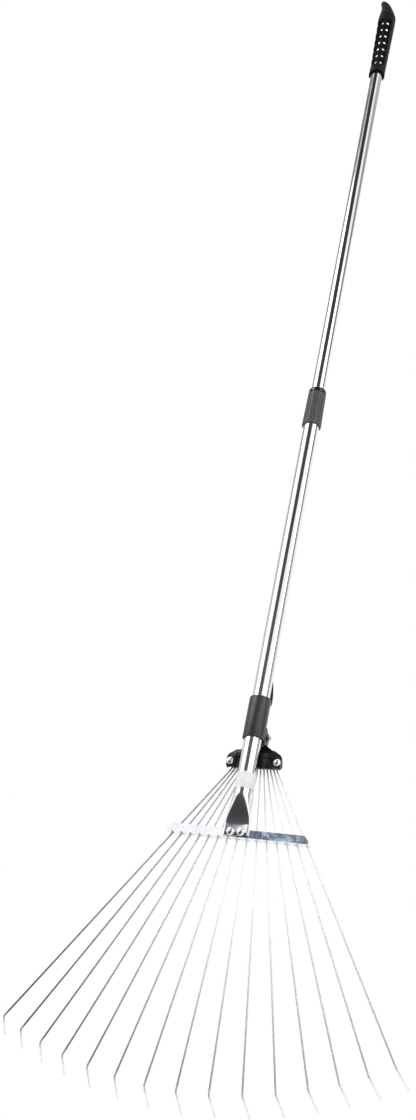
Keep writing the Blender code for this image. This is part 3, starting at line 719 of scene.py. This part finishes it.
def domed_screw(name):
    """A screw with a domed head in front and a chamfered end."""
    low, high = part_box(name)
    centre = Vector(((low.x + high.x) / 2, 0, (low.z + high.z) / 2))
    seat = low.y + 0.0030
    shank, chamfer = 0.0016, 0.0003
    outline = domed_head((high.x - low.x) / 2, low.y, seat, 10, 0.85)
    outline += [(shank, seat), (shank, high.y - chamfer), (shank - chamfer, high.y), (0, high.y)]
    bm = turn_to(turned(outline, 48), "Y", centre)
    piece(name + "_dome", bm, BRIGHT, "slider", name, 50)


NUT_BORES = {"X": 0.0021, "Y": 0.0019}  # radii, by the direction that the nut lies along


def hex_nut(name, along):
    """A nut with chamfered corners and a rounded bore."""
    low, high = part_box(name)
    middle = (low + high) / 2
    if along == "X":
        ends, across, centre = (low.x, high.x), high.z - low.z, Vector((0, middle.y, middle.z))
    else:
        ends, across, centre = (low.y, high.y), high.x - low.x, Vector((middle.x, 0, middle.z))
    bore, chamfer = NUT_BORES[along], 0.0003
    count = 96
    flat = across / 2

    def ring(limit, z):
        """The hexagon's outline, cut off at a radius."""
        points = []
        for i in range(count):
            a = 2 * math.pi * i / count
            folded = (a + math.pi / 6) % (math.pi / 3) - math.pi / 6
            r = min(flat / math.cos(folded), limit)
            points.append(Vector((r * math.cos(a), r * math.sin(a), z)))
        return points

    corner, face = flat / math.cos(math.pi / 6), flat * 0.98
    z0, z1 = ends
    rings = [ring(face, z0), ring(corner, z0 + 0.0005), ring(corner, z1 - 0.0005)]
    rings += [ring(face, z1), circle(bore + chamfer, z1, count)]
    rings.append(circle(bore, z1 - chamfer, count))
    rings += [circle(bore, z0 + chamfer, count), circle(bore + chamfer, z0, count)]
    bm = turn_to(loft(rings, closed=True), along, centre)
    piece(name + "_plated", bm, BRIGHT, "slider", name, 35)


def lever_pin():
    low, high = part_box("lever_pin")
    centre = Vector((0, (low.y + high.y) / 2, (low.z + high.z) / 2))
    seat = low.x + 0.0018
    head, shank = 0.0034, 0.0018
    outline = [(0, low.x), (head, low.x), (head, seat), (shank, seat)]
    outline += [(shank, high.x), (0, high.x)]
    bm = turn_to(turned(rounded(outline, 0.0005), 48), "X", centre)
    piece("lever_pin_plated", bm, BRIGHT, "slider", "lever_pin")


# Tines

TINES_EACH_SIDE = 7
WIRE_R = 0.0009
SLOT_PITCH = 0.0109
SLOT_Y = 0.0075
TIP_ANGLE = math.radians(67.0)
TIP_BEND_R = 0.0045
WIRE_LENGTH = 0.3497  # from the hinge to where the straight run would meet the tip
TIP_LENGTH = 0.0295
PEG_LENGTH = 0.0024
# distances from the wire's end, and its radius there as a share of WIRE_R
TIP_ROUNDING = ((0.0030, 1.0), (0.0010, 1.0), (0.0005, 0.87), (0.0002, 0.6), (0.0, 0.2))


def tine_number(k):
    """The wires are numbered from the left, and k counts from the middle one."""
    return f"{k + TINES_EACH_SIDE + 1:02d}"


def wire_material(k, bend_z, tip_z):
    """Painted shade: paler on the right than on the left, and painted darkest towards the bend
    on the left.
    """
    # painted shade: wires on the left are painted darker and those on the right paler, and the
    # lower colour is the painted shade at the bend
    upper = 0.97 - 0.52 * max(0.0, -k / TINES_EACH_SIDE) ** 0.9
    lower = 0.36 + 0.24 * k / TINES_EACH_SIDE
    tint = (0.98, 1.0, 1.02)
    painted_shade_colours = [tuple(level * t for t in tint) for level in (upper, lower)]
    top_z = bend_z + WIRE_LENGTH * 0.9
    return spring_wire_with_painted_shade("wire_" + tine_number(k), *painted_shade_colours, top_z, bend_z, tip_z)


def tine(k):
    """One wire: a peg in the yoke, a straight run through its slot, and a bent round tip."""
    name = "tine_" + tine_number(k)
    pivot = Vector(JOINTS[name + "_swing"]["pos_m"])
    slot = Vector((k * SLOT_PITCH, SLOT_Y, AIM_Z))
    along = (slot - pivot).normalized()
    back = Vector((0, 1, 0))
    back = (back - along * along.y).normalized()
    bend = pivot + along * WIRE_LENGTH
    reach = TIP_BEND_R * math.tan(TIP_ANGLE / 2)
    tip_way = along * math.cos(TIP_ANGLE) + back * math.sin(TIP_ANGLE)
    tip = bend + TIP_LENGTH * tip_way
    elbow = 0.00025
    path = [pivot + back * PEG_LENGTH, pivot + back * WIRE_R]
    path += [pivot + (back + along) * elbow, pivot + along * WIRE_R]
    path += [pivot + along * (WIRE_LENGTH * share) for share in (0.25, 0.5, 0.75)]
    centre = bend - along * reach + back * TIP_BEND_R
    steps = 12
    for i in range(steps + 1):
        a = TIP_ANGLE * i / steps
        path.append(centre + TIP_BEND_R * (along * math.sin(a) - back * math.cos(a)))
    radii = [WIRE_R] * len(path)
    for left, share in TIP_ROUNDING:
        path.append(tip - tip_way * left)
        radii.append(WIRE_R * share)
    mat = wire_material(k, bend.z, tip.z)
    piece(name + "_wire", sweep(path, radii), mat, name, name, 60)


# Stage

FLOOR_DROP = 0.62  # from the tips down to the floor
CARD_DISTANCE = 2.6


def around(azimuth, distance, height):
    """A place round the pole, by its azimuth in degrees from the front towards +X."""
    a = math.radians(azimuth)
    return Vector((distance * math.sin(a), -distance * math.cos(a), height))


def glow_material():
    """Emission whose strength is painted on the card's own points."""
    mat = bpy.data.materials.new("card_glow")
    mat.use_nodes = True
    nodes, links = mat.node_tree.nodes, mat.node_tree.links
    nodes.clear()
    painted = nodes.new("ShaderNodeAttribute")
    painted.attribute_name = "glow"
    glow = nodes.new("ShaderNodeEmission")
    output = nodes.new("ShaderNodeOutputMaterial")
    links.new(painted.outputs["Color"], glow.inputs["Color"])
    links.new(glow.outputs["Emission"], output.inputs["Surface"])
    return mat


def card(name, rows, mat, tint=(1.0, 1.0, 1.02)):
    """A mesh from rows of (point, brightness), seen only in reflections."""
    bm = bmesh.new()
    made = [[bm.verts.new(p) for p, _ in row] for row in rows]
    for low, high in zip(made, made[1:]):
        for a, b, c, d in zip(low, low[1:], high[1:], high):
            bm.faces.new((a, b, c, d))
    mesh = bpy.data.meshes.new(name)
    bm.to_mesh(mesh)
    bm.free()
    painted = mesh.color_attributes.new("glow", "FLOAT_COLOR", "POINT")
    for point, level in zip(painted.data, [level for row in rows for _, level in row]):
        point.color = (*(level * t for t in tint), 1.0)
    mesh.materials.append(mat)
    obj = bpy.data.objects.new(name, mesh)
    bpy.context.scene.collection.objects.link(obj)
    obj.visible_camera = False
    obj.visible_diffuse = False
    obj.visible_shadow = False
    obj.visible_transmission = False


def reflector(name, stages, mat, soft=1.6, distance=CARD_DISTANCE):
    """A curved card round the pole. Each stage is (height above AIM_Z, first and last
    azimuth, brightness), and both edges fade to the white studio over soft degrees."""
    rows = []
    for height, start, end, level in stages:
        inner = [start + soft + (end - start - 2 * soft) * i / 10 for i in range(11)]
        glow = [(start, 1.0)] + [(a, level) for a in inner] + [(end, 1.0)]
        rows.append([(around(a, distance, AIM_Z + height), shade) for a, shade in glow])
    card(name, rows, mat)


def patchy_card(name, start, end, low, high, mat):
    """Dark blue with a few pale patches, for the dents in the bar's plate to distort."""
    distance = CARD_DISTANCE - 0.15
    columns, lines = 18, 12
    dark, pale = 0.04, 1.64
    rows = []
    for j in range(lines + 1):
        height = AIM_Z + low + (high - low) * j / lines
        row = []
        for i in range(columns + 1):
            wave = math.sin(1.9 * i + 0.7 * j) * math.sin(1.1 * i - 1.7 * j + 0.6)
            patch = max(0.0, min(1.0, (wave - 0.40) / 0.20))
            place = around(start + (end - start) * i / columns, distance, height)
            row.append((place, dark + (pale - dark) * patch))
        rows.append(row)
    card(name, rows, mat, tint=(0.86, 1.0, 1.25))


def floor_card(name, start, end, near, far, level, height, mat):
    """A sector that lies just over the floor in front of the rake."""
    steps = 12
    angles = [start + (end - start) * i / steps for i in range(steps + 1)]
    rows = []
    for distance in (near, (near + far) / 2, far):
        rows.append([(around(a, distance, height), level) for a in angles])
    card(name, rows, mat)


def softbox(name, azimuth, elevation, distance, size, power):
    """A soft area light that faces the middle of the rake."""
    data = bpy.data.lights.new(name, "AREA")
    data.shape = "RECTANGLE"
    data.size, data.size_y = size
    data.energy = power
    obj = bpy.data.objects.new(name, data)
    bpy.context.scene.collection.objects.link(obj)
    a, e = math.radians(azimuth), math.radians(elevation)
    middle = Vector((0, 0, (cad_low.z + cad_high.z) / 2))
    out = Vector((math.sin(a) * math.cos(e), -math.cos(a) * math.cos(e), math.sin(e)))
    obj.location = middle + out * distance
    obj.rotation_euler = (-out).to_track_quat("-Z", "Y").to_euler()


def white_world():
    world = bpy.data.worlds.new("studio_white")
    bpy.context.scene.world = world
    world.use_nodes = True
    background = world.node_tree.nodes["Background"]
    background.inputs["Color"].default_value = (1.0, 1.0, 1.0, 1.0)
    background.inputs["Strength"].default_value = 1.0


def dark_cards(mat, floor_z):
    """They give the tubes their dark stripe, and the bar and the pressed end their shade."""
    front = [(-0.90, -52, 36, 0.05), (0.30, -44, 32, 0.09), (0.62, -32, 22, 0.12)]
    front += [(0.74, -22.8, 20, 0.10), (1.25, -21.0, 20, 0.12)]
    front += [(1.90, -17, 26, 0.07), (2.60, -17, 36, 0.06), (3.00, -17, 45, 0.05)]
    front += [(3.60, -28, 38, 0.05), (4.50, -31, 33, 0.035), (5.60, -20, 15, 0.035)]
    reflector("dark_card_front", front, mat, soft=0.9)
    floor_card("dark_card_floor", -75, 20, 0.25, 2.58, 0.05, floor_z + 0.004, mat)
    patchy_card("patchy_card_front", -21.0, -17.0, 0.74, 0.94, mat)


def side_cards(mat):
    """They draw the grey edges of the tubes. The bright tops show only near the grip."""
    right = [(-0.86, 84, 126, 0.55), (1.3, 84, 126, 0.45), (2.2, 86, 120, 0.30)]
    right += [(2.6, 85, 117, 0.14), (3.1, 85, 122, 0.20)]
    right += [(4.47, 60, 198, 0.50), (4.56, 34, 198, 2.00), (5.6, 34, 198, 2.00)]
    reflector("grey_card_right", right, mat, soft=4.0)
    left = [(-0.86, -150, -74, 0.72), (1.3, -150, -74, 0.70), (2.2, -128, -66, 0.50)]
    left += [(2.6, -126, -62, 0.42), (3.2, -122, -58, 0.30)]
    left += [(4.47, -118, -46, 0.16), (4.56, -118, -40, 2.50), (5.6, -118, -40, 2.50)]
    reflector("grey_card_left", left, mat, soft=4.0)
    upper_left = [(3.0, -50, -30, 0.95), (4.40, -48, -29, 0.40), (4.50, -48, -29, 1.00)]
    reflector("pale_card_upper_left", upper_left, mat)


def bright_strips(mat):
    """Highlights on the black and grey mouldings, just in front of the other cards."""
    strips = [("strip_left_low", -58, -33, 0.95, 1.50), ("strip_left_high", -58, -33, 2.2, 3.2)]
    strips += [("strip_right_low", 30, 50, 0.95, 1.50), ("strip_right_high", 52, 70, 2.2, 3.2)]
    level, fade = 6.0, 0.15
    for name, start, end, low, high in strips:
        rows = [(low, start, end, 1.0), (low + fade, start, end, level)]
        rows += [(high - fade, start, end, level), (high, start, end, 1.0)]
        reflector(name, rows, mat, soft=4.0, distance=CARD_DISTANCE - 0.1)


def paper_floor(floor_z):
    bpy.ops.mesh.primitive_plane_add(size=40, location=(0, 0, floor_z))
    floor = bpy.context.object
    floor.name = "studio_floor"
    paper = Shader("floor_paper", (0.90, 0.90, 0.90), 0.8)
    paper.colour(paper.noise(3, 3.0), (0.895, 0.895, 0.895), (0.905, 0.905, 0.905))
    floor.data.materials.append(paper.mat)


def studio():
    white_world()
    softbox("key_softbox", -50, 30, 3.0, (1.6, 2.4), 22)
    softbox("fill_softbox", 75, 20, 3.2, (1.2, 2.4), 14)
    mat = glow_material()
    floor_z = cad_low.z - FLOOR_DROP
    dark_cards(mat, floor_z)
    side_cards(mat)
    bright_strips(mat)
    paper_floor(floor_z)


CAMERA_PLACE = (0.488, -1.226, AIM_Z - 0.437)
CAMERA_PITCH, CAMERA_ROLL, CAMERA_YAW = 0.521, 0.218, 0.447  # radians
SENSOR, LENS = 36.0, 41.908  # millimetres


def camera():
    """A look up from below the tips, a little from the right, with the pole tilted."""
    yaw, pitch, roll = CAMERA_YAW, CAMERA_PITCH, CAMERA_ROLL
    ahead = Vector((-math.sin(yaw), math.cos(yaw), 0))
    forward = ahead * math.cos(pitch) + Vector((0, 0, math.sin(pitch)))
    level = Vector((math.cos(yaw), math.sin(yaw), 0))
    up = level.cross(forward)
    right = math.cos(roll) * level + math.sin(roll) * up
    top = -math.sin(roll) * level + math.cos(roll) * up
    turn = Matrix((right, top, -forward)).transposed().to_4x4()
    data = bpy.data.cameras.new("main_camera")
    data.sensor_fit = "AUTO"
    data.sensor_width = SENSOR
    data.lens = LENS
    data.clip_start, data.clip_end = 0.05, 60
    obj = bpy.data.objects.new("main_camera", data)
    bpy.context.scene.collection.objects.link(obj)
    obj.matrix_world = Matrix.Translation(CAMERA_PLACE) @ turn
    bpy.context.scene.camera = obj


camera()
upper_tube()
grip()
hang_cap()
end_plug()
lower_tube()
collet_ring()
label_band()
refined("spreader_bar_plated", "spreader_bar", ZINC, "lower_pole", 0.0006, 4)
rivet("rivet_left")
rivet("rivet_right")
twist_collar()
slider_sleeve()
refined("yoke_carrier_moulding", "yoke_carrier", BLACK, "slider", 0.0004)
refined("yoke_front_moulding", "yoke_front_plate", BLACK, "slider", 0.0002)
refined("brake_pad_block", "brake_pad", RUBBER, "slider", 0.0004)
refined("cam_lever_moulding", "cam_lever", LEVER, "cam_lever", 0.0010, 4)
domed_screw("yoke_screw_left")
domed_screw("yoke_screw_right")
hex_nut("yoke_nut_left", "Y")
hex_nut("yoke_nut_right", "Y")
hex_nut("lever_nut", "X")
lever_pin()
for place_from_middle in range(-TINES_EACH_SIDE, TINES_EACH_SIDE + 1):
    tine(place_from_middle)
studio()

scene = bpy.context.scene
scene.view_settings.view_transform = "Standard"
